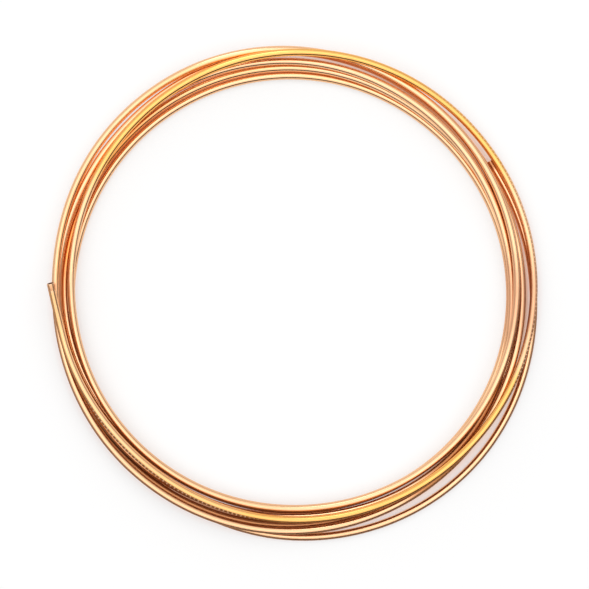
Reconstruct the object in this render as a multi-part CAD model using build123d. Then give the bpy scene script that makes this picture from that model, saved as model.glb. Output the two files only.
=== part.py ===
"""Loose coil of soft copper tube, 10 mm outside with a 1 mm wall, lying flat on the floor."""
from build123d import *
import math
import os

# The tube, and the coil that it is wound into: the mean radius of its centre line.
TUBE_DIAMETER = 10.0
WALL = 1.0
BORE_DIAMETER = TUBE_DIAMETER - 2 * WALL
COIL_RADIUS = 310.0

# How far out each turn lies from the mean radius, in tube diameters. A row is one turn, from
# the upper free end down, seen from above and anticlockwise, in eighths from the left side.
TURN_OFFSETS = [
    [0.40, -0.70, -0.45, 0.30, 1.60, 1.85, 1.25, 0.15],
    [-1.20, -1.70, -1.85, -1.25, -0.80, 0.35, 1.75, 2.00],
    [0.75, 1.05, 1.15, 0.62, 0.02, 0.45, 1.60, 0.80],
    [0.60, -0.22, -0.66, -0.20, -1.35, -0.95, 0.25, 0.90],
    [0.95, 0.76, 0.50, 0.00, -0.35, -1.15, -0.52, -0.27],
    [-0.20, -1.40, -1.55, -1.20, -1.45, -1.70, -1.50, -1.28],
    [-0.95, 0.30, 2.10, 2.85, 1.75, 1.00],
]
FULL_ANGLE = 360.0
OFFSETS_PER_TURN = 8
FIRST_OFFSET_ANGLE = 180.0

# Where the curved stretch starts, next to the upper free end, and how far round it goes.
UPPER_ANGLE = 182.5
TURN_COUNT = 6.573
LOWER_ANGLE = UPPER_ANGLE + FULL_ANGLE * TURN_COUNT

# The free ends: a straight stretch each, and a bend that leads the upper one out and up.
END_STRAIGHT = 28.0
END_BEND = 44.0
END_OUT = 2.5
END_UP = 6.0

# How the turns lie on each other: the gap between them, and the tube's springiness as a
# number of passes that ease its heights and the reach of those that round its corners.
LAY_GAP = 0.8
SAMPLES_PER_TURN = 120
EASING_PASSES = 60
ROUNDING_PASSES = 2
ROUNDING_REACH = 32.5

# Steps that the centre line is made of, each a pair of arcs.
STEPS_PER_TURN = 24


def end_bend(angle):
    """One where the upper end's straight stretch starts, down to none past its bend."""
    run = math.radians(angle - UPPER_ANGLE) * COIL_RADIUS
    return max(0.0, 1 - run / END_BEND) ** 2


def turn_radius(angle):
    """Radius of the centre line at an angle, on a smooth curve through the offsets."""
    offsets = [offset for turn in TURN_OFFSETS for offset in turn]
    place = (angle - FIRST_OFFSET_ANGLE) * OFFSETS_PER_TURN / FULL_ANGLE
    index = math.floor(place)
    part = place - index
    before, start, end, after = [
        offsets[min(max(index + step, 0), len(offsets) - 1)] for step in (-1, 0, 1, 2)
    ]
    linear = end - before
    square = 2 * before - 5 * start + 4 * end - after
    cube = 3 * start - before - 3 * end + after
    offset = start + 0.5 * part * (linear + part * (square + part * cube))
    return COIL_RADIUS + TUBE_DIAMETER * offset + END_OUT * end_bend(angle)


def resting_heights(radii, heights):
    """Height at which each sample just clears the turns under it, or lies on the floor."""
    reach = TUBE_DIAMETER + LAY_GAP
    resting = []
    for index, radius in enumerate(radii):
        height = TUBE_DIAMETER / 2
        for under in range(index + SAMPLES_PER_TURN, len(radii), SAMPLES_PER_TURN):
            apart = abs(radius - radii[under])
            if apart < reach:
                height = max(height, heights[under] + math.sqrt(reach ** 2 - apart ** 2))
        resting.append(height)
    return resting


def rounded(heights):
    """Heights averaged over the rounding reach to both sides, which may end part way."""
    reach = ROUNDING_REACH * SAMPLES_PER_TURN / (2 * math.pi * COIL_RADIUS)
    whole = int(reach)
    weights = [reach - whole] + [1] * (2 * whole + 1) + [reach - whole]
    padded = [heights[0]] * (whole + 1) + heights + [heights[-1]] * (whole + 1)
    return [
        sum(map(math.prod, zip(weights, padded[index:index + len(weights)]))) / sum(weights)
        for index in range(len(heights))
    ]


def eased(resting):
    """Heights of a springy tube that bridges the dips and rounds the corners."""
    heights = resting
    for _ in range(EASING_PASSES):
        padded = [heights[0]] + heights + [heights[-1]]
        heights = [
            max(low, (before + 2 * here + after) / 4)
            for low, before, here, after in zip(resting, padded, padded[1:], padded[2:])
        ]
    for _ in range(ROUNDING_PASSES):
        heights = rounded(heights)
    return heights


def laid_heights():
    """Heights of the centre line's samples, laid turn on turn from the floor up.

    They run past the curved stretch, over the lower end's straight one.
    """
    straight_turns = END_STRAIGHT / (2 * math.pi * COIL_RADIUS)
    count = math.ceil((TURN_COUNT + straight_turns) * SAMPLES_PER_TURN)
    step = FULL_ANGLE / SAMPLES_PER_TURN
    radii = [turn_radius(UPPER_ANGLE + step * index) for index in range(count + 1)]
    heights = [TUBE_DIAMETER / 2] * len(radii)
    for _ in TURN_OFFSETS:
        heights = eased(resting_heights(radii, heights))
    return heights


def centre_point(heights, angle):
    """Point of the centre line at an angle."""
    place = (angle - UPPER_ANGLE) * SAMPLES_PER_TURN / FULL_ANGLE
    index = min(max(int(place), 1), len(heights) - 3)
    part = place - index
    before, start, end, after = heights[index - 1:index + 3]
    linear = end - before
    square = 2 * before - 5 * start + 4 * end - after
    cube = 3 * start - before - 3 * end + after
    height = start + 0.5 * part * (linear + part * (square + part * cube))
    height += END_UP * end_bend(angle)
    turned = math.radians(angle)
    radius = turn_radius(angle)
    return Vector(radius * math.cos(turned), radius * math.sin(turned), height)


def arc_pair(start, start_way, end, end_way):
    """Two arcs that join tangent to each other and to both given directions."""
    across = end - start
    square = 2 * (start_way.dot(end_way) - 1)
    linear = 2 * across.dot(start_way + end_way)
    whole = across.dot(across)
    leg = (linear - math.sqrt(linear ** 2 - 4 * square * whole)) / (2 * square)
    first = start + start_way * leg
    second = end - end_way * leg
    middle = (first + second) * 0.5
    return [
        TangentArc(start, middle, tangent=start_way),
        TangentArc(middle, end, tangent=second - first),
    ]


def tube_path():
    """Centre line from the upper end to the lower: straight ends and tangent arcs."""
    heights = laid_heights()
    bend_angle = math.degrees(END_BEND / COIL_RADIUS)
    curved = LOWER_ANGLE - UPPER_ANGLE - bend_angle
    count = round(STEPS_PER_TURN * curved / FULL_ANGLE)
    angles = [UPPER_ANGLE]
    angles += [UPPER_ANGLE + bend_angle + curved * index / count for index in range(count + 1)]
    points = [centre_point(heights, angle) for angle in angles]
    nudge = 0.2
    ways = [
        (centre_point(heights, angle + nudge) - centre_point(heights, angle - nudge)).normalized()
        for angle in angles
    ]
    edges = [Line(points[0] - ways[0] * END_STRAIGHT, points[0])]
    for index in range(len(angles) - 1):
        edges += arc_pair(points[index], ways[index], points[index + 1], ways[index + 1])
    edges.append(Line(points[-1], points[-1] + ways[-1] * END_STRAIGHT))
    return Wire(edges)


def copper_tube(path):
    """The whole tube with its bore, swept along its centre line."""
    start = Plane(origin=path @ 0, z_dir=path % 0)
    ring = start * (Circle(TUBE_DIAMETER / 2) - Circle(BORE_DIAMETER / 2))
    return sweep(ring, path=path)


def main():
    os.makedirs("parts", exist_ok=True)
    path = tube_path()
    tube = copper_tube(path)
    section = math.pi * (TUBE_DIAMETER ** 2 - BORE_DIAMETER ** 2) / 4
    print("length", path.length, "volume check", tube.volume / (section * path.length))
    box = tube.bounding_box()
    tube = Pos(-box.center().X, -box.center().Y, -box.min.Z) * tube
    tube.label = "copper_tube"
    export_step(tube, "parts/copper_tube.step")
    print("size", box.size, "moved by", -box.center().X, -box.center().Y, -box.min.Z)


main()
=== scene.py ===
"""Loose coil of bright soft copper tube on a pale studio floor, seen straight from above."""

import math

import bpy
from bpy.props import FloatProperty, FloatVectorProperty, IntProperty, PointerProperty
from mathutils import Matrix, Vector


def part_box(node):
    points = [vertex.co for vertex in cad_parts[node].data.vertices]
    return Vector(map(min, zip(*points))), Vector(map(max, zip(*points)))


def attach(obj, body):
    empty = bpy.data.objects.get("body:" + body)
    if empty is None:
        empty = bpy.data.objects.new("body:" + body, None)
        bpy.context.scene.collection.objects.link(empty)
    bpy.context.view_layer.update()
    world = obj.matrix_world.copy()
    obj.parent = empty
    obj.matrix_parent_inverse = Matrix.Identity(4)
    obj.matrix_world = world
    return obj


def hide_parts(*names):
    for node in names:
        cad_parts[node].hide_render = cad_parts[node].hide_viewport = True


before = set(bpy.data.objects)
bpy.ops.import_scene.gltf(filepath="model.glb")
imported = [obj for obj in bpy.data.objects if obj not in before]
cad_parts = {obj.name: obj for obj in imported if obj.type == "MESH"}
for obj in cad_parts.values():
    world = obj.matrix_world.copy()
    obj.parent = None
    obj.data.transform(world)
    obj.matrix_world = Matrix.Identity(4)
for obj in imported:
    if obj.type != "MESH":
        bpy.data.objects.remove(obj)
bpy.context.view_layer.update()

bl_info = {
    "name": "Copper Tube Coil",
    "version": (1, 0, 0),
    "blender": (4, 5, 0),
    "location": "3D View > Sidebar > Copper Coil",
    "description": "Winds a loose coil of bright soft copper tube and lights it on a pale floor",
    "category": "Object",
}

# How far out each turn lies from the mean radius, in tube diameters. A row is one turn, from
# the upper free end down, seen from above and anticlockwise, in eighths from the left side.
TURN_OFFSETS = [
    [0.40, -0.70, -0.45, 0.30, 1.60, 1.85, 1.25, 0.15],
    [-1.20, -1.70, -1.85, -1.25, -0.80, 0.35, 1.75, 2.00],
    [0.75, 1.05, 1.15, 0.62, 0.02, 0.45, 1.60, 0.80],
    [0.60, -0.22, -0.66, -0.20, -1.35, -0.95, 0.25, 0.90],
    [0.95, 0.76, 0.50, 0.00, -0.35, -1.15, -0.52, -0.27],
    [-0.20, -1.40, -1.55, -1.20, -1.45, -1.70, -1.50, -1.28],
    [-0.95, 0.30, 2.10, 2.85, 1.75, 1.00],
]
OFFSETS_PER_TURN = 8
FIRST_OFFSET_ANGLE = 180.0
FULL_ANGLE = 360.0

# Stretches of the tube with a look of their own, in metres from the upper end: where the look
# starts, where it is full, where it fades and where it ends.
GOLDEN_STRETCHES = [
    (0.40, 0.48, 0.84, 0.92),
    (1.08, 1.22, 1.78, 1.92),
]
PALE_GOLDEN_STRETCH = (0.008, 0.014, 0.40, 0.48)
# Painted groove shade: stretches coloured the deep orange of copper lit only by light bounced between
# the turns.
GROOVE_SHADE_STRETCH = (9.45, 9.60, 9.75, 9.86)
GROOVE_SHADE_FLANK_STRETCH = (3.73, 3.82, 3.90, 3.95)
TICKED_STRETCHES = [
    (0.15, 0.20, 0.42, 0.46),
    (0.84, 0.88, 0.98, 1.02),
]

# Stretches painted brown with shade, where they lie deep between other turns, each with how
# strong the shade is as its last number.
SHADED_STRETCHES = [
    (4.57, 4.63, 4.70, 4.74, 0.90),
    (6.58, 6.64, 6.76, 6.86, 0.90),
    (7.90, 8.08, 8.45, 8.78, 0.85),
]

# Tarnish by both mouths and the stronger one by the lower mouth, with the same four places in
# metres from the mouth, and where the fresh metal of the cut fades.
MOUTH_TARNISH = (0.0002, 0.0010, 0.0080, 0.0105)
LOWER_MOUTH_TARNISH = (0.0002, 0.0010, 0.0080, 0.0180)
FRESH_CUT = (0.0001, 0.0005)

# What the golden stretches and the film's own clouds add up to, and where that sum begins to
# turn the copper golden. The pale stretch counts less, and so does the painted groove shade of
# the flank.
GOLDEN_WEIGHT = 0.46
FILM_WEIGHT = 0.8
GOLDEN_BEGINS = (0.43, 0.84)
PALE_GOLDEN = 0.5
PALE_GROOVE_SHADE = 0.6

# Where painted shade dulls the copper on the right, and where the turns rubbed on the left, with
# the same four places in metres to the north of the coil's middle. Their edges wander a little,
# both begin at some distance from the middle, and the upper end is left out of the rubbed place.
SHADED_RIGHT_PLACE = (-0.06, 0.02, 0.05, 0.125)
RUBBED_PLACE = (-0.01, 0.01, 0.075, 0.085)
EDGE_WANDER = 0.08
SIDE_BEGINS = (0.1, 0.2)
UPPER_END_FADES = (0.25, 0.30)

# Painted shade darkens the outward flank, by how far outward a point lies on the tube. To the
# south this is wider and stronger, and to the north-west it fades.
FLANK_BEGINS = (0.70, 0.92)
FLANK_SHADE_STRENGTH = 0.45
SOUTH_WIDER = 0.18
SOUTH_STRONGER = 0.35
SOUTH_FADES = (-0.08, 0.12)
NORTH_BEGINS = (-0.05, 0.15)
WEST_FADES = (0.1, 0.3)

# The copper is darker at the lower left: which way that is from the coil's middle, and
# between which distances it begins.
DARKER_WAY = (-0.3, -0.95)
DARKER_BEGINS = (0.16, 0.30)

# Strengths of the tarnish and of the darkening at the lower left. A pair is its plain part and
# the part that comes and goes in clouds.
CLOUD_STRENGTH = 0.25
SPECK_STRENGTH = 0.6
MOUTH_STRENGTH = (0.22, 0.40)
LOWER_MOUTH_STRENGTH = (0.60, 0.30)
DARKER_STRENGTH = (0.10, 0.12)

# The distance from one tick mark to the next, and where on the tube their rows begin, by how
# far upward and outward a point lies on it.
TICK_SPACING = 0.006
TICKS_UPWARD = (0.15, 0.35)
TICKS_OUTWARD = (0.35, 0.6)

# How much each mark covers the colour under it, how much rougher it makes the copper and how far
# it stands out, as a share of the bump's depth. Draw lines make it smoother as often as rougher.
COVER = {"amber": 0.85, "strapped": 0.75, "tarnish": 1.0, "oxide": 0.72, "ticks": 0.7}
ROUGHER = {
    "smudge": 0.10,
    "scuffs": 0.12,
    "tarnish": 0.25,
    "film_inside": 0.25,
    "strapped": 0.14,
    "rubbed": 0.12,
    "ticks": 0.6,
}
RELIEF = {"lines": 0.0015, "scuffs": -0.006, "ticks": 0.04, "dents": 0.03}
LINE_ROUGHNESS = 0.05
BUMP_DEPTH = 0.0006

# How much of its metal's shine the copper loses under the painted flank shade to the south.
FLANK_SHADE_METAL_LOSS = 0.25

# How far the bore's look reaches out into the wall, and how far the skin's look reaches in.
BORE_REACH = 0.0002
SKIN_REACH = 0.0003

# Rings of the floor, with the same four places in metres from the coil's middle: deep between
# the turns, between them, and round them. They carry painted light: warm copper light between
# and round the turns, and copper-coloured painted shade deep between them.
FLOOR_DEEP = (0.3000, 0.3025, 0.312, 0.319)
FLOOR_BETWEEN = (0.2985, 0.3015, 0.319, 0.330)
FLOOR_ROUND = (0.290, 0.305, 0.330, 0.340)

# Colour of the light, and of the open floor as the camera sees it.
WHITE = (1.0, 1.0, 1.0)

# The edges of the panel and its core, by how steeply a direction rises, and which way the
# brightest wall lies, to the east and to the north.
PANEL_EDGE = (0.55, 0.75)
CORE_EDGE = (0.95, 0.99)
BRIGHT_WALL = (-0.36, 0.93)

# The camera's film width in millimetres, and the nearest and farthest that it sees in metres.
SENSOR_WIDTH = 36.0
CAMERA_REACH = (0.05, 40.0)

# A face counts as a mouth's flat ring where its normal lies this much along the tube.
MOUTH_FACE = 0.95

# Distance between the points that find the tube's box, and the step in degrees over which the
# tube's direction is taken.
BOX_SPACING = 0.002
DIRECTION_STEP = 0.2


def colour(name, description, default):
    """A colour that a user may change."""
    return FloatVectorProperty(
        name=name,
        description=description,
        subtype="COLOR",
        size=3,
        min=0.0,
        max=1.0,
        default=default,
    )


def length(name, description, default):
    """A length in metres that a user may change."""
    return FloatProperty(
        name=name,
        description=description,
        unit="LENGTH",
        subtype="DISTANCE",
        precision=5,
        min=0.0,
        default=default,
    )


def position(name, description, default):
    """A place in metres that a user may change."""
    return FloatVectorProperty(
        name=name,
        description=description,
        unit="LENGTH",
        subtype="TRANSLATION",
        size=3,
        precision=5,
        default=default,
    )


def number(name, description, default, least=0.0):
    """A plain number that a user may change."""
    return FloatProperty(name=name, description=description, min=least, default=default)


def share(name, description, default):
    """A number from none to one that a user may change."""
    return FloatProperty(name=name, description=description, min=0.0, max=1.0, default=default)


def whole_number(name, description, default, least=1):
    """A whole number that a user may change."""
    return IntProperty(name=name, description=description, min=least, default=default)


class CoilSizes(bpy.types.PropertyGroup):
    """The tube, the coil that it is wound into, and how its turns lie on each other."""

    tube_diameter: length("Tube Diameter", "Outside diameter of the tube", 0.010)
    wall: length("Wall", "Thickness of the tube's wall", 0.001)
    coil_radius: length("Coil Radius", "Mean radius of the turns' centre lines", 0.310)
    upper_angle: number("Upper Angle", "Where the turns start, in degrees round the coil", 182.5)
    turn_count: number("Turns", "Number of turns", 6.573, 1.0)
    end_straight: length("End Straight", "Straight stretch at each free end", 0.028)
    end_bend: length("End Bend", "Length of the bend that leads the upper end away", 0.044)
    end_out: length("End Out", "How far that bend leads the end outwards", 0.0025)
    end_up: length("End Up", "How far that bend leads the end upwards", 0.006)
    lay_gap: length("Lay Gap", "Gap between turns that lie on each other", 0.0008)
    samples_per_turn: whole_number("Samples", "Heights worked out in a turn", 120)
    easing_passes: whole_number("Easing", "Passes that ease the heights", 60)
    rounding_passes: whole_number("Rounding", "Passes that round the heights", 2)
    rounding_reach: length("Rounding Reach", "How far along the tube its heights are averaged", 0.0325)
    steps_per_turn: whole_number("Steps", "Pairs of arcs in a turn", 24)
    sides: whole_number("Sides", "Faces round the tube", 36, 12)
    ring_spacing: length("Ring Spacing", "Distance between rings of the outer skin", 0.009)
    bore_spacing: length("Bore Spacing", "Distance between rings of the bore", 0.024)
    rolled_edge: length("Rolled Edge", "How far the cutter rolled the mouth's outer edge in", 0.00022)
    burr: length("Burr", "How far the cutter's burr stands into the bore", 0.00012)
    burr_crest: length("Burr Crest", "Width of the burr's slanted crest", 0.00005)


class CopperColours(bpy.types.PropertyGroup):
    """Colours and finish of the copper."""

    rosy: colour("Rosy Copper", "Bright copper of most of the coil", (0.92, 0.55, 0.31))
    golden: colour("Golden Copper", "Copper where the annealing film is yellow", (0.94, 0.49, 0.14))
    # Painted groove shade: the deep orange of copper lit only by light bounced between the turns.
    amber: colour("Amber Copper", "Copper where the annealing film is deepest", (0.80, 0.28, 0.05))
    # Painted shade: this dull colour darkens the copper on the right, where its highlight is dimmed.
    dull: colour("Dull Copper", "Copper under a dull film, where it was strapped", (0.74, 0.38, 0.22))
    cut: colour("Cut", "Fresh metal of the sawn mouths and the tick marks", (0.97, 0.72, 0.50))
    # The brown serves real tarnish by the mouths and in specks, and painted shade on some stretches and
    # on the outward flanks.
    brown: colour("Brown Tarnish", "Tarnish by the mouths, on flanks and in specks", (0.48, 0.18, 0.06))
    # Painted shade: this dark colour darkens the outward flanks at the lower side.
    oxide: colour("Dark Oxide", "Oxide on the outward flanks at the lower side", (0.21, 0.06, 0.013))
    bore: colour("Bore", "Dull film inside the tube", (0.40, 0.15, 0.07))
    slant: colour("Slant Tint", "Tint of what the copper reflects at a slant", (1.0, 0.78, 0.58))
    gloss: share("Roughness", "Roughness of the clean drawn skin", 0.17)
    coat: share("Coat", "Strength of the thin clear film on the copper", 0.08)
    coat_gloss: share("Coat Roughness", "Roughness of that film", 0.12)


class StudioSettings(bpy.types.PropertyGroup):
    """The floor, the light and the camera."""

    floor: colour("Floor", "Colour of the floor", (0.96, 0.96, 0.96))
    blush: colour("Blush", "Colour that the copper throws on the floor round it", (1.0, 0.91, 0.88))
    glow: colour("Glow", "Floor between the turns, warm from the copper round it", (0.98, 0.76, 0.66))
    # Painted shade: the copper-coloured floor deep between the turns.
    deep_floor_shade: colour("Ember", "Floor deep between the turns", (0.93, 0.51, 0.30))
    paleness: share("Paleness", "How much of the floor's plain colour the camera sees", 0.52)
    deep_loss: share("Deep Loss", "How much less of it deep between the turns", 0.22)
    floor_size: length("Floor Size", "Side of the square floor", 14.0)
    panel: number("Panel", "Strength of the bright panel overhead", 1.37)
    core: number("Core", "Strength of the small core in the panel's middle", 2.0)
    walls: number("Walls", "Mean strength of the walls round the set", 0.46)
    lean: number("Lean", "How much brighter the brightest wall is than the mean", 0.44)
    key: number("Key Lamp", "Power of the key lamp in watts", 8.0)
    key_size: length("Key Size", "Side of the square key lamp", 1.0)
    key_colour: colour("Key Colour", "Colour of the key lamp", (1.0, 0.985, 0.96))
    key_place: position("Key Place", "Where the key lamp hangs", (-0.5, 2.3, 2.4))
    camera_place: position("Camera Place", "Where the camera hangs", (-0.0005, -0.0002, 2.2))
    lens: number("Lens", "Focal length in millimetres", 98.8)


# The tube's centre line.


def end_bend(sizes, angle):
    """One where the upper end's straight stretch starts, down to none past its bend."""
    run = math.radians(angle - sizes.upper_angle) * sizes.coil_radius
    return max(0.0, 1 - run / sizes.end_bend) ** 2


def through(values, place, index):
    """Value at a place between samples, on a smooth curve through four neighbours."""
    part = place - index
    before, start, end, after = values
    linear = end - before
    square = 2 * before - 5 * start + 4 * end - after
    cube = 3 * start - before - 3 * end + after
    return start + 0.5 * part * (linear + part * (square + part * cube))


def turn_radius(sizes, angle):
    """Radius of the centre line at an angle."""
    offsets = [offset for turn in TURN_OFFSETS for offset in turn]
    place = (angle - FIRST_OFFSET_ANGLE) * OFFSETS_PER_TURN / FULL_ANGLE
    index = math.floor(place)
    near = [offsets[min(max(index + step, 0), len(offsets) - 1)] for step in (-1, 0, 1, 2)]
    offset = through(near, place, index)
    return sizes.coil_radius + sizes.tube_diameter * offset + sizes.end_out * end_bend(sizes, angle)


def resting_heights(sizes, radii, heights):
    """Height at which each sample just clears the turns under it, or lies on the floor."""
    reach = sizes.tube_diameter + sizes.lay_gap
    resting = []
    for index, radius in enumerate(radii):
        height = sizes.tube_diameter / 2
        for under in range(index + sizes.samples_per_turn, len(radii), sizes.samples_per_turn):
            apart = abs(radius - radii[under])
            if apart < reach:
                height = max(height, heights[under] + math.sqrt(reach**2 - apart**2))
        resting.append(height)
    return resting


def rounded(sizes, heights):
    """Heights averaged over the rounding reach to both sides, which may end part way."""
    reach = sizes.rounding_reach * sizes.samples_per_turn / (2 * math.pi * sizes.coil_radius)
    whole = int(reach)
    weights = [reach - whole] + [1] * (2 * whole + 1) + [reach - whole]
    padded = [heights[0]] * (whole + 1) + heights + [heights[-1]] * (whole + 1)
    return [
        sum(map(math.prod, zip(weights, padded[index:index + len(weights)]))) / sum(weights)
        for index in range(len(heights))
    ]


def eased(sizes, resting):
    """Heights of a springy tube that bridges the dips and rounds the corners."""
    heights = resting
    for _ in range(sizes.easing_passes):
        padded = [heights[0]] + heights + [heights[-1]]
        heights = [
            max(low, (before + 2 * here + after) / 4)
            for low, before, here, after in zip(resting, padded, padded[1:], padded[2:])
        ]
    for _ in range(sizes.rounding_passes):
        heights = rounded(sizes, heights)
    return heights


def laid_heights(sizes):
    """Heights of the centre line's samples, laid turn on turn from the floor up."""
    straight_turns = sizes.end_straight / (2 * math.pi * sizes.coil_radius)
    count = math.ceil((sizes.turn_count + straight_turns) * sizes.samples_per_turn)
    step = FULL_ANGLE / sizes.samples_per_turn
    radii = [turn_radius(sizes, sizes.upper_angle + step * index) for index in range(count + 1)]
    heights = [sizes.tube_diameter / 2] * len(radii)
    for _ in TURN_OFFSETS:
        heights = eased(sizes, resting_heights(sizes, radii, heights))
    return heights


def centre_point(sizes, heights, angle):
    """Point of the centre line at an angle."""
    place = (angle - sizes.upper_angle) * sizes.samples_per_turn / FULL_ANGLE
    index = min(max(int(place), 1), len(heights) - 3)
    height = through(heights[index - 1:index + 3], place, index)
    height += sizes.end_up * end_bend(sizes, angle)
    turned = math.radians(angle)
    radius = turn_radius(sizes, angle)
    return Vector((radius * math.cos(turned), radius * math.sin(turned), height))


def direction(sizes, heights, angle):
    """Direction of the centre line at an angle."""
    before = centre_point(sizes, heights, angle - DIRECTION_STEP)
    after = centre_point(sizes, heights, angle + DIRECTION_STEP)
    return (after - before).normalized()


def arc_corners(start, start_way, end, end_way):
    """Two arcs that join tangent to each other and to both directions, as start, corner and end."""
    across = end - start
    square = 2 * (start_way.dot(end_way) - 1)
    linear = 2 * across.dot(start_way + end_way)
    whole = across.dot(across)
    leg = (linear - math.sqrt(linear**2 - 4 * square * whole)) / (2 * square)
    first = start + start_way * leg
    second = end - end_way * leg
    middle = (first + second) * 0.5
    return [(start, first, middle), (middle, second, end)]


def tube_arcs(sizes):
    """The curved stretch as arcs, from the upper end down, and the direction at each of its ends."""
    heights = laid_heights(sizes)
    bend_angle = math.degrees(sizes.end_bend / sizes.coil_radius)
    curved = FULL_ANGLE * sizes.turn_count - bend_angle
    count = round(sizes.steps_per_turn * curved / FULL_ANGLE)
    angles = [sizes.upper_angle]
    angles += [sizes.upper_angle + bend_angle + curved * index / count for index in range(count + 1)]
    points = [centre_point(sizes, heights, angle) for angle in angles]
    ways = [direction(sizes, heights, angle) for angle in angles]
    arcs = []
    for index in range(len(angles) - 1):
        arcs += arc_corners(points[index], ways[index], points[index + 1], ways[index + 1])
    return arcs, ways[0], ways[-1]


def arc_points(arc, spacing):
    """Points of an arc without its last one, with the direction at each."""
    start, corner, end = arc
    first, second = corner - start, end - corner
    weight = first.normalized().dot((end - start).normalized())
    count = max(1, math.ceil((end - start).length / spacing))
    found = []
    for index in range(count):
        part = index / count
        rest = 1 - part
        total = rest**2 + 2 * part * rest * weight + part**2
        point = (start * rest**2 + corner * (2 * part * rest * weight) + end * part**2) / total
        way = first * (rest**2 * weight) + (end - start) * (part * rest) + second * (part**2 * weight)
        found.append((point, way.normalized()))
    return found


def centre_line(sizes, spacing):
    """Points of the whole centre line with their directions, mouth to mouth."""
    arcs, first_way, last_way = tube_arcs(sizes)
    steps = math.ceil(sizes.end_straight / spacing)
    distances = [sizes.end_straight * index / steps for index in range(steps + 1)]
    start, end = arcs[0][0], arcs[-1][2]
    line = [(start - first_way * distance, first_way) for distance in reversed(distances[1:])]
    for arc in arcs:
        line += arc_points(arc, spacing)
    line += [(end + last_way * distance, last_way) for distance in distances]
    return line


# The tube's mesh.


def with_runs(line):
    """The centre line's points with how far along the tube each lies."""
    run = 0.0
    found = []
    last = line[0][0]
    for point, way in line:
        run += (point - last).length
        last = point
        found.append((run, point, way))
    return found


def mouth_profile(sizes):
    """Depth and radius of the rings at a cut end, from the outer skin round to the bore.

    The factors are the outline of the rolled edge and of the burr, as shares of their sizes.
    """
    outside = sizes.tube_diameter / 2
    inside = outside - sizes.wall
    roll, burr = sizes.rolled_edge, sizes.burr
    return [
        (2.4 * roll, outside),
        (1.1 * roll, outside - 0.22 * roll),
        (0.3 * roll, outside - 0.62 * roll),
        (0.0, outside - roll),
        (0.0, inside - burr + sizes.burr_crest),
        (0.3 * burr, inside - burr),
        (2.0 * burr, inside - 0.35 * burr),
        (5.0 * burr, inside),
    ]


def ring_list(sizes):
    """All rings in a closed loop: down the skin, round the lower mouth and back up the bore.

    Each is how far along the tube it lies, its radius, its middle and the tube's direction.
    """
    outer = with_runs(centre_line(sizes, sizes.ring_spacing))
    inner = with_runs(centre_line(sizes, sizes.bore_spacing))
    total, lower, last_way = outer[-1]
    _, upper, first_way = outer[0]
    stretch = total / inner[-1][0]
    outside = sizes.tube_diameter / 2
    inside = outside - sizes.wall
    profile = mouth_profile(sizes)
    rings = [(run, outside, point, way) for run, point, way in outer[1:-1]]
    for depth, radius in profile:
        rings.append((total - depth, radius, lower - last_way * depth, last_way))
    rings += [(run * stretch, inside, point, way) for run, point, way in reversed(inner[1:-1])]
    for depth, radius in reversed(profile):
        rings.append((depth, radius, upper + first_way * depth, first_way))
    return rings


def ring_points(rings, sides, shift):
    """Points round each ring, and how far along the tube, inward and up each one lies."""
    turns = [2 * math.pi * side / sides for side in range(sides)]
    points, straight = [], []
    for run, radius, centre, way in rings:
        across = Vector((-way.y, way.x, 0.0)).normalized()
        up = way.cross(across)
        for turn in turns:
            side, rise = radius * math.cos(turn), radius * math.sin(turn)
            points.append(centre + shift + across * side + up * rise)
            straight += [run, side, rise]
    return points, straight


def ring_faces(ring_count, sides):
    """Faces from each ring to the next, and from the last one back to the first."""
    faces = []
    for ring in range(ring_count):
        here, there = ring * sides, (ring + 1) % ring_count * sides
        for side in range(sides):
            after = (side + 1) % sides
            faces.append((here + side, here + after, there + after, there + side))
    return faces


def tube_mesh(sizes, shift):
    """The closed tube with its bore, and its length.

    Each point keeps its place on the tube as it was before winding.
    """
    rings = ring_list(sizes)
    points, straight = ring_points(rings, sizes.sides, shift)
    mesh = bpy.data.meshes.new("copper_tube_skin")
    mesh.from_pydata(points, [], ring_faces(len(rings), sizes.sides))
    kept = mesh.attributes.new("straight", "FLOAT_VECTOR", "POINT")
    kept.data.foreach_set("vector", straight)
    mesh.shade_smooth()
    smooth = [
        abs(polygon.normal.dot(rings[index // sizes.sides][3])) <= MOUTH_FACE
        for index, polygon in enumerate(mesh.polygons)
    ]
    mesh.polygons.foreach_set("use_smooth", smooth)
    mesh.update()
    return mesh, max(run for run, _, _, _ in rings)


def fitted_shift(sizes):
    """What moves the wound tube onto the middle of the CAD tube's box."""
    low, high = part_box("copper_tube")
    line = centre_line(sizes, BOX_SPACING)
    radius = sizes.tube_diameter / 2
    middles = []
    for axis in range(2):
        rims = [radius * math.sqrt(max(0.0, 1 - way[axis] ** 2)) for _, way in line]
        lowest = min(point[axis] - rim for (point, _), rim in zip(line, rims))
        highest = max(point[axis] + rim for (point, _), rim in zip(line, rims))
        middles.append((lowest + highest) / 2)
    lowest = min(point.z - radius * math.sqrt(1 - way.z**2) for point, way in line)
    east = (low.x + high.x) / 2 - middles[0]
    north = (low.y + high.y) / 2 - middles[1]
    return Vector((east, north, low.z - lowest))


# Shader values as Python expressions.


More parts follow.
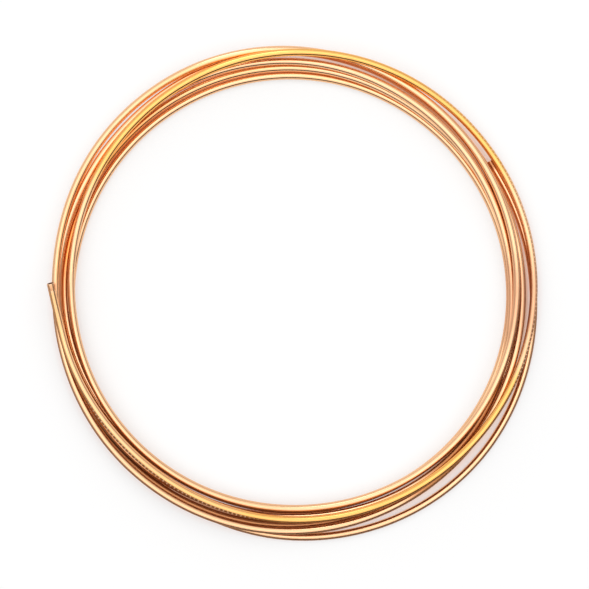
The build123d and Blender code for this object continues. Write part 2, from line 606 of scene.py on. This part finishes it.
class Value:
    """A shader value. Python's operators on it add the Math nodes of the expression."""

    def __init__(self, nodes, socket):
        self.nodes = nodes
        self.socket = socket

    def math(self, operation, *others):
        """One Math node, with this value first."""
        return self.nodes.add("ShaderNodeMath", {"operation": operation}, [self, *others])["Value"]

    def __add__(self, other):
        return self.math("ADD", other)

    def __radd__(self, other):
        return self.math("ADD", other)

    def __sub__(self, other):
        return self.math("SUBTRACT", other)

    def __rsub__(self, other):
        return self.nodes.add("ShaderNodeMath", {"operation": "SUBTRACT"}, [other, self])["Value"]

    def __mul__(self, other):
        return self.math("MULTIPLY", other)

    def __rmul__(self, other):
        return self.math("MULTIPLY", other)

    def __truediv__(self, other):
        return self.math("DIVIDE", other)

    def __rtruediv__(self, other):
        return self.nodes.add("ShaderNodeMath", {"operation": "DIVIDE"}, [other, self])["Value"]

    def __neg__(self):
        return self.math("MULTIPLY", -1.0)

    def ramp(self, low, high):
        """None at low and under, one at high and over, and smooth between them."""
        settings = {"interpolation_type": "SMOOTHSTEP", "clamp": True}
        values = {"Value": self, "From Min": low, "From Max": high}
        return self.nodes.add("ShaderNodeMapRange", settings, values)["Result"]


class Outputs:
    """A node's outputs by name, each as a shader value."""

    def __init__(self, nodes, node):
        self.nodes = nodes
        self.node = node

    def __getitem__(self, name):
        found = [socket for socket in self.node.outputs if socket.name == name and socket.enabled]
        return Value(self.nodes, found[0])


class Nodes:
    """A material's or the world's node tree, emptied."""

    def __init__(self, owner):
        owner.use_nodes = True
        self.tree = owner.node_tree
        self.tree.nodes.clear()

    def add(self, kind, settings=None, values=()):
        """A node of a kind with its settings, then the values or links of its sockets.

        The sockets go by name in a dictionary, or in order in a list.
        """
        node = self.tree.nodes.new(kind)
        for name, value in (settings or {}).items():
            setattr(node, name, value)
        sockets = [socket for socket in node.inputs if socket.enabled]
        if isinstance(values, dict):
            named = {socket.name: socket for socket in reversed(sockets)}
            pairs = [(named[name], value) for name, value in values.items()]
        else:
            pairs = zip(sockets, values)
        for socket, value in pairs:
            if isinstance(value, Value):
                self.tree.links.new(value.socket, socket)
            else:
                socket.default_value = value
        return Outputs(self, node)

    def blend(self, factor, first, second):
        """Mix of two colours."""
        settings = {"data_type": "RGBA", "blend_type": "MIX", "clamp_factor": True}
        values = {"Factor": factor, "A": solid(first), "B": solid(second)}
        return self.add("ShaderNodeMix", settings, values)["Result"]

    def stretch(self, vector, scale):
        """A vector with each of its parts scaled by its own number."""
        return self.add("ShaderNodeVectorMath", {"operation": "MULTIPLY"}, [vector, scale])["Vector"]

    def parts(self, vector):
        """The three parts of a vector."""
        split = self.add("ShaderNodeSeparateXYZ", None, [vector])
        return split["X"], split["Y"], split["Z"]

    def joined(self, x, y, z):
        """A vector of three parts."""
        return self.add("ShaderNodeCombineXYZ", None, [x, y, z])["Vector"]

    def noise(self, vector, detail=2.0, roughness=0.5, distortion=0.0):
        """Cloudy noise from none to one."""
        values = {
            "Vector": vector,
            "Scale": 1.0,
            "Detail": detail,
            "Roughness": roughness,
            "Distortion": distortion,
        }
        return self.add("ShaderNodeTexNoise", {"noise_dimensions": "3D"}, values)["Fac"]


def solid(value):
    """A colour with its fourth part, or a shader value as it is."""
    return value if isinstance(value, Value) else (*value, 1.0)


# The copper.


def stretch_mask(along, start, full, fades, end):
    """One from full to fades, with smooth edges out to start and end."""
    return along.ramp(start, full) * (1 - along.ramp(fades, end))


def strongest(values):
    """The largest of some shader values."""
    found = values[0]
    for value in values[1:]:
        found = found.math("MAXIMUM", value)
    return found


class TubePlace:
    """Where a point of the copper lies, on the tube as it was before winding and in the coil.

    Outward and upward run from minus one to one across the tube. East is how far to the right of
    the coil's middle the point lies, and north how far to its far side.
    """

    def __init__(self, nodes, sizes, total):
        self.nodes = nodes
        self.straight = nodes.add("ShaderNodeAttribute", {"attribute_name": "straight"})["Vector"]
        self.run, self.side, self.rise = nodes.parts(self.straight)
        self.from_lower = total - self.run
        self.from_mouth = self.run.math("MINIMUM", self.from_lower)
        outside = sizes.tube_diameter / 2
        self.outward = -self.side / outside
        self.upward = self.rise / outside
        self.depth = (self.side * self.side + self.rise * self.rise).math("SQRT")
        self.east, self.north, _ = nodes.parts(nodes.add("ShaderNodeTexCoord")["Object"])

    def noise(self, along, across, detail=2.0, roughness=0.5):
        """Cloudy noise that follows the tube, so many waves to the metre along and across it."""
        scaled = self.nodes.stretch(self.straight, (along, across, across))
        return self.nodes.noise(scaled, detail, roughness)


class CopperMarks:
    """How strong each mark of the copper is at a point of the tube."""

    def __init__(self, place, sizes):
        outside = sizes.tube_diameter / 2
        inside = outside - sizes.wall
        self.skin = place.depth.ramp(inside + BORE_REACH, outside - SKIN_REACH)
        self.film_inside = 1 - self.skin
        self.cloud = place.noise(along=60.0, across=260.0, detail=3.0, roughness=0.6)
        self.south = 1 - place.north.ramp(*SOUTH_FADES)
        # The golden annealing film, and painted groove shade on some stretches.
        self.golden, self.amber = film_and_groove_shade(place)
        # Painted shade on the right, and the matt place on the left.
        self.strapped, self.rubbed = shade_and_rub_marks(place)
        self.ticks = tick_marks(place)
        # Painted shade on the outward flank, and a darker painted shade there to the south.
        self.flank = painted_flank_shade(place, self.south)
        self.oxide = self.flank * self.south
        # Tarnish in clouds, specks and by the mouths, with painted shade on some stretches and on the
        # outward flank, and the darkening at the lower left.
        self.tarnish = strongest(
            [
                cloudy_tarnish(place, self.cloud),
                *stretch_shade_and_tarnish(place, self.cloud),
                self.flank * (FLANK_SHADE_STRENGTH + SOUTH_STRONGER * self.south),
                lower_left_darkening(place, self.cloud),
            ]
        )
        self.lines = place.noise(along=9.0, across=1500.0, detail=3.0, roughness=0.65)
        self.scuffs = scuff_marks(place)
        self.dents = place.noise(along=55.0, across=120.0, detail=1.0)
        self.smudge = place.noise(along=30.0, across=90.0, detail=3.0, roughness=0.6).ramp(0.45, 0.8)


def film_and_groove_shade(place):
    """How golden the film is, in long stretches that fade into each other, and how strong the painted
    groove shade is.
    """
    run = place.run
    film = place.noise(along=2.4, across=45.0, detail=1.5)
    golden = sum(stretch_mask(run, *stretch) for stretch in GOLDEN_STRETCHES)
    golden = golden + stretch_mask(run, *PALE_GOLDEN_STRETCH) * PALE_GOLDEN
    golden = (golden * GOLDEN_WEIGHT + film * FILM_WEIGHT).ramp(*GOLDEN_BEGINS)
    inward = (-place.outward).ramp(0.10, 0.45)
    groove_shade_flank = stretch_mask(run, *GROOVE_SHADE_FLANK_STRETCH) * inward * PALE_GROOVE_SHADE
    return golden, strongest([groove_shade_flank, stretch_mask(run, *GROOVE_SHADE_STRETCH)])


def shade_and_rub_marks(place):
    """Painted shade that dulls the copper on the right, and the matt place on the left."""
    north = place.noise(along=25.0, across=120.0) * EDGE_WANDER + place.north
    strapped = stretch_mask(north, *SHADED_RIGHT_PLACE) * place.east.ramp(*SIDE_BEGINS)
    rubbed = stretch_mask(north, *RUBBED_PLACE) * (-place.east).ramp(*SIDE_BEGINS)
    return strapped, rubbed * place.run.ramp(*UPPER_END_FADES)


def tick_marks(place):
    """Short marks in rows on the upper outward flank of some stretches."""
    ticks = (place.run * (2 * math.pi / TICK_SPACING)).math("SINE").ramp(0.35, 0.8)
    rows = sum(stretch_mask(place.run, *stretch) for stretch in TICKED_STRETCHES)
    rows = rows + place.noise(along=1.3, across=0.0, detail=0.0).ramp(0.66, 0.72)
    rows = rows.math("MINIMUM", 1.0) * place.upward.ramp(*TICKS_UPWARD)
    return ticks * place.outward.ramp(*TICKS_OUTWARD) * rows


def painted_flank_shade(place, south):
    """Painted shade on the outward flank, wider to the south and left out to the north-west."""
    flank = (place.outward + south * SOUTH_WIDER).ramp(*FLANK_BEGINS)
    north_west = place.north.ramp(*NORTH_BEGINS) * (1 - place.east.ramp(*WEST_FADES))
    return flank * (1 - north_west)


def clouded(strength, cloud):
    """A strength with a plain part and a part that follows the clouds."""
    plain, cloudy = strength
    return plain + cloudy * cloud


def cloudy_tarnish(place, cloud):
    """Tarnish in faint clouds and small specks, both stronger by the mouths."""
    near_mouth = stretch_mask(place.from_mouth, *MOUTH_TARNISH)
    clouds = cloud.ramp(0.55, 0.85) * CLOUD_STRENGTH
    clouds = clouds + near_mouth * clouded(MOUTH_STRENGTH, cloud.ramp(0.35, 0.65))
    speck = place.noise(along=900.0, across=900.0, detail=1.0).ramp(0.70, 0.76)
    more_specks = place.noise(along=12.0, across=60.0, detail=1.0).ramp(0.5, 0.75)
    return strongest([clouds, speck * (more_specks + near_mouth) * SPECK_STRENGTH])


def stretch_shade_and_tarnish(place, cloud):
    """Painted shade on whole stretches of the tube, and real tarnish by the lower mouth as the last
    one.
    """
    found = []
    for start, full, fades, end, strength in SHADED_STRETCHES:
        found.append(stretch_mask(place.run, start, full, fades, end) * strength)
    lower_mouth = stretch_mask(place.from_lower, *LOWER_MOUTH_TARNISH)
    found.append(lower_mouth * clouded(LOWER_MOUTH_STRENGTH, cloud))
    return found


def lower_left_darkening(place, cloud):
    """Faint darkening of the copper at the lower left."""
    out = DARKER_WAY[0] * place.east + DARKER_WAY[1] * place.north
    return out.ramp(*DARKER_BEGINS) * clouded(DARKER_STRENGTH, cloud)


def scuff_marks(place):
    """Short scuffs that cross the tube at a slant, in some places only."""
    run, side, rise = place.run, place.side, place.rise
    slanted = place.nodes.joined(run * 260.0 + side * 900.0, side * 260.0 - run * 40.0, rise * 700.0)
    scuffs = place.nodes.noise(slanted, detail=2.0, distortion=0.4).ramp(0.62, 0.78)
    return scuffs * place.noise(along=5.0, across=40.0, detail=1.0).ramp(0.48, 0.66)


def weighted(marks, weights):
    """Sum of some marks, each times its weight."""
    return sum(getattr(marks, name) * weight for name, weight in weights.items())


def copper_colour(place, marks, colours):
    """Colour of the copper: its film, each mark over the ones before, fresh cuts and the bore."""
    blend = place.nodes.blend
    copper = blend(marks.golden, colours.rosy, colours.golden)
    # Painted shade is laid here as colour: the deep orange of the grooves, the dull colour on the
    # right, part of the brown and the dark flank colour to the south.
    shades = {
        "amber": colours.amber,
        "strapped": colours.dull,
        "tarnish": colours.brown,
        "oxide": colours.oxide,
        "ticks": colours.cut,
    }
    for name, shade in shades.items():
        copper = blend(getattr(marks, name) * COVER[name], copper, shade)
    copper = blend(place.from_mouth.ramp(*FRESH_CUT), colours.cut, copper)
    return blend(marks.skin, colours.bore, copper)


def copper_roughness(marks, gloss):
    """Roughness of the copper with its marks."""
    return gloss + weighted(marks, ROUGHER) + LINE_ROUGHNESS * (marks.lines - 0.5)


def copper_bump(nodes, marks):
    """Relief of the copper: draw lines along the tube, scuffs, ticks and dents from winding."""
    values = {"Strength": 1.0, "Distance": BUMP_DEPTH, "Height": weighted(marks, RELIEF)}
    return nodes.add("ShaderNodeBump", None, values)["Normal"]


def bright_copper(sizes, colours, total):
    """Drawn and annealed copper: rosy to golden skin with its marks, and a dull bore."""
    material = bpy.data.materials.new("bright_copper")
    nodes = Nodes(material)
    place = TubePlace(nodes, sizes, total)
    marks = CopperMarks(place, sizes)
    values = {
        "Base Color": copper_colour(place, marks, colours),
        # The painted flank shade to the south also makes the copper less metallic.
        "Metallic": 1 - FLANK_SHADE_METAL_LOSS * marks.oxide,
        "Roughness": copper_roughness(marks, colours.gloss),
        "Specular Tint": solid(colours.slant),
        "Coat Weight": colours.coat,
        "Coat Roughness": colours.coat_gloss,
        "Normal": copper_bump(nodes, marks),
    }
    copper = nodes.add("ShaderNodeBsdfPrincipled", {"distribution": "MULTI_GGX"}, values)["BSDF"]
    nodes.add("ShaderNodeOutputMaterial", None, {"Surface": copper})
    return material


def build_tube(sizes, colours):
    """The tube, standing for its CAD solid."""
    mesh, total = tube_mesh(sizes, fitted_shift(sizes))
    tube = bpy.data.objects.new("bright_tube", mesh)
    bpy.context.scene.collection.objects.link(tube)
    mesh.materials.append(bright_copper(sizes, colours, total))
    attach(tube, "root")
    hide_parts("copper_tube")


# The studio.


def floor_colour(nodes, settings, deep, between, open_floor):
    """Colour of the floor: its own in the open, painted warm copper light between the turns and painted
    copper-coloured shade deep between them.
    """
    warm = nodes.blend(between, open_floor, settings.glow)
    return nodes.blend(deep, warm, settings.deep_floor_shade)


def pale_floor(settings):
    """A matt floor with warm light from the copper on it, a little paler to the camera."""
    material = bpy.data.materials.new("pale_floor")
    nodes = Nodes(material)
    rays = nodes.add("ShaderNodeLightPath")
    seen = strongest([rays["Is Camera Ray"], rays["Is Glossy Ray"], rays["Is Transmission Ray"]])
    east, north, _ = nodes.parts(nodes.add("ShaderNodeTexCoord")["Object"])
    out = (east * east + north * north).math("SQRT")
    deep = stretch_mask(out, *FLOOR_DEEP)
    between = stretch_mask(out, *FLOOR_BETWEEN)
    shade = floor_colour(nodes, settings, deep, between, settings.floor)
    matt = nodes.add("ShaderNodeBsdfDiffuse", None, {"Color": shade})["BSDF"]
    blushed = nodes.blend(stretch_mask(out, *FLOOR_ROUND), WHITE, settings.blush)
    pale = floor_colour(nodes, settings, deep, between, blushed)
    plain = nodes.add("ShaderNodeEmission", None, {"Color": pale, "Strength": 1.0})["Emission"]
    paler = seen * (settings.paleness - settings.deep_loss * deep)
    floor = nodes.add("ShaderNodeMixShader", None, [paler, matt, plain])["Shader"]
    nodes.add("ShaderNodeOutputMaterial", None, {"Surface": floor})
    return material


def build_floor(settings):
    """The floor under the coil."""
    half = settings.floor_size / 2
    corners = [(-half, -half, 0), (half, -half, 0), (half, half, 0), (-half, half, 0)]
    mesh = bpy.data.meshes.new("studio_floor")
    mesh.from_pydata(corners, [], [(0, 1, 2, 3)])
    mesh.materials.append(pale_floor(settings))
    floor = bpy.data.objects.new("studio_floor", mesh)
    bpy.context.scene.collection.objects.link(floor)


def build_dome(settings):
    """A bright panel with a brighter core overhead, and walls that are brightest at the far side.

    The camera sees white past the floor.
    """
    world = bpy.data.worlds.new("studio_dome")
    bpy.context.scene.world = world
    nodes = Nodes(world)
    east, north, rise = nodes.parts(nodes.add("ShaderNodeTexCoord")["Generated"])
    wall = settings.walls + settings.lean * (BRIGHT_WALL[0] * east + BRIGHT_WALL[1] * north)
    panel = rise.ramp(*PANEL_EDGE)
    core = rise.ramp(*CORE_EDGE)
    strength = wall + panel * (settings.panel - wall) + core * (settings.core - settings.panel)
    seen = nodes.add("ShaderNodeLightPath")["Is Camera Ray"]
    strength = strength * (1 - seen) + seen
    light = nodes.add("ShaderNodeBackground", None, {"Color": solid(WHITE), "Strength": strength})
    nodes.add("ShaderNodeOutputWorld", None, {"Surface": light["Background"]})


def build_key_lamp(settings):
    """A square soft lamp aimed at the coil's middle."""
    data = bpy.data.lights.new("key_lamp", "AREA")
    data.shape = "SQUARE"
    data.size = settings.key_size
    data.energy = settings.key
    data.color = settings.key_colour
    lamp = bpy.data.objects.new("key_lamp", data)
    bpy.context.scene.collection.objects.link(lamp)
    lamp.location = settings.key_place
    lamp.rotation_euler = (-Vector(settings.key_place)).to_track_quat("-Z", "Y").to_euler()
    lamp.visible_camera = False


def build_camera(settings):
    """The camera straight over the coil."""
    data = bpy.data.cameras.new("overhead_camera")
    data.lens = settings.lens
    data.sensor_width = SENSOR_WIDTH
    data.clip_start, data.clip_end = CAMERA_REACH
    camera = bpy.data.objects.new("overhead_camera", data)
    bpy.context.scene.collection.objects.link(camera)
    camera.location = settings.camera_place
    bpy.context.scene.camera = camera


# Operators, panel and registration.


class COIL_OT_copper_tube(bpy.types.Operator):
    """Wind the copper tube and give it its bright skin"""

    bl_idname = "coil.copper_tube"
    bl_label = "Copper Tube"

    def execute(self, context):
        build_tube(context.scene.coil_sizes, context.scene.copper_colours)
        return {"FINISHED"}


class COIL_OT_studio(bpy.types.Operator):
    """Set up the floor, the light and the camera"""

    bl_idname = "coil.studio"
    bl_label = "Studio"

    def execute(self, context):
        settings = context.scene.studio_settings
        build_floor(settings)
        build_dome(settings)
        build_key_lamp(settings)
        build_camera(settings)
        context.scene.view_settings.view_transform = "Standard"
        return {"FINISHED"}


class COIL_PT_panel(bpy.types.Panel):
    """The coil's pieces and its studio"""

    bl_idname = "COIL_PT_panel"
    bl_label = "Copper Coil"
    bl_space_type = "VIEW_3D"
    bl_region_type = "UI"
    bl_category = "Copper Coil"

    def draw(self, context):
        scene = context.scene
        for heading, group, operator in (
            ("Tube", scene.coil_sizes, "coil.copper_tube"),
            ("Copper", scene.copper_colours, None),
            ("Studio", scene.studio_settings, "coil.studio"),
        ):
            box = self.layout.box()
            box.label(text=heading)
            for name in group.__annotations__:
                box.prop(group, name)
            if operator:
                box.operator(operator)


GROUPS = {
    "coil_sizes": CoilSizes,
    "copper_colours": CopperColours,
    "studio_settings": StudioSettings,
}
CLASSES = (*GROUPS.values(), COIL_OT_copper_tube, COIL_OT_studio, COIL_PT_panel)


def register():
    """Add the classes, and the groups of settings to every scene."""
    for made in CLASSES:
        bpy.utils.register_class(made)
    for name, group in GROUPS.items():
        setattr(bpy.types.Scene, name, PointerProperty(type=group))


def unregister():
    """Take away what register added."""
    for name in GROUPS:
        delattr(bpy.types.Scene, name)
    for made in reversed(CLASSES):
        bpy.utils.unregister_class(made)


def main():
    """Make the coil and its studio."""
    register()
    bpy.ops.coil.copper_tube()
    bpy.ops.coil.studio()


if __name__ == "__main__":
    main()
